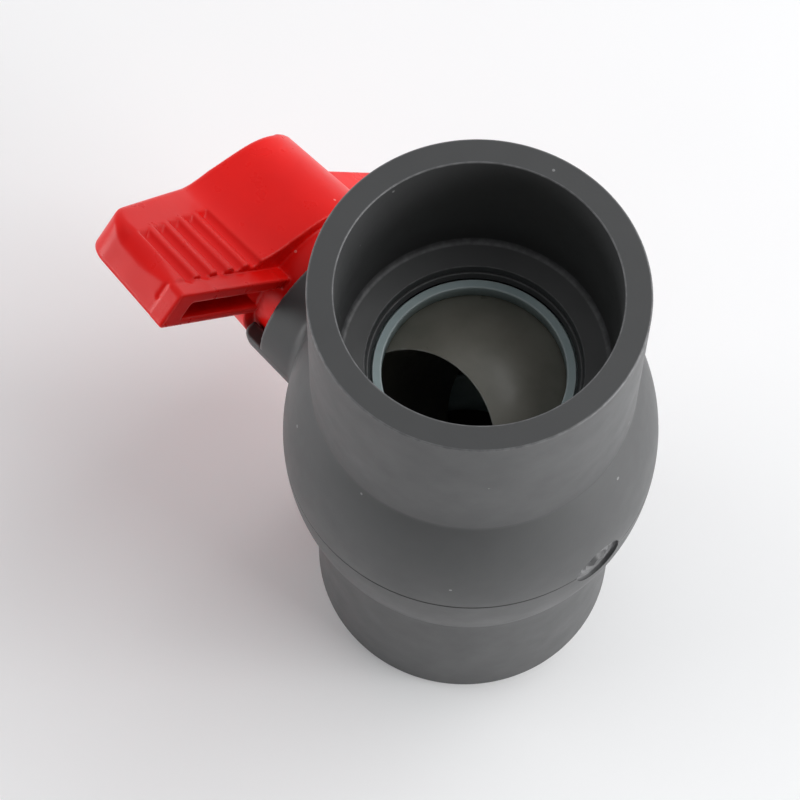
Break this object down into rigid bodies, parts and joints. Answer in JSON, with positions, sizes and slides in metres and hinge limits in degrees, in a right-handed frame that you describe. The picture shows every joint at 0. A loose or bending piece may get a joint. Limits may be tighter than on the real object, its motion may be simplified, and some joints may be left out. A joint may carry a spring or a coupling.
{
  "type": "plastic ball valve",
  "caption": "Straight plastic ball valve with a solvent socket at each end, a bulged middle and a ribbed wing handle that turns the ball a quarter turn.",
  "frame": {"origin": "middle of the bounding box in plan, on the plane of the lower socket's end face. The pipe axis is at X = 21.11 mm and the ball's centre at Z = 76 mm", "axes": "+Z along the pipe axis from the lower socket to the upper one, -X along the stem towards the handle, +Y completes a right-handed frame"},
  "size_m": [0.1308, 0.0964, 0.152],
  "materials": {
    "grey_plastic": "dark grey unplasticised PVC, semi-matte from the mould",
    "red_plastic": "bright red, satin gloss",
    "ball_plastic": "warm dark grey, satin, turned",
    "seat_plastic": "pale blue-grey, smooth and waxy",
    "black_rubber": "black, matte",
    "screw_steel": "plain stainless"
  },
  "bodies": {
    "housing": {"valve_body": "grey_plastic", "carrier_upper": "grey_plastic", "carrier_lower": "grey_plastic", "seat_ring_upper": "seat_plastic", "seat_ring_lower": "seat_plastic", "seat_backing_ring_upper": "black_rubber", "seat_backing_ring_lower": "black_rubber", "stem_bush": "grey_plastic", "bush_seal": "black_rubber", "thrust_washer": "seat_plastic"},
    "drive": {"ball": "ball_plastic", "stem": "ball_plastic", "stem_seal_inner": "black_rubber", "stem_seal_outer": "black_rubber", "handle": "red_plastic", "handle_screw": "screw_steel", "handle_washer": "screw_steel", "handle_cap": "red_plastic"}
  },
  "joints": [
    {"name": "handle_turn", "type": "hinge", "parent": "housing", "child": "drive", "pos_m": [0.02111, 0, 0.076], "axis": [1, 0, 0], "range_deg": [-43, 47]}
  ]
}
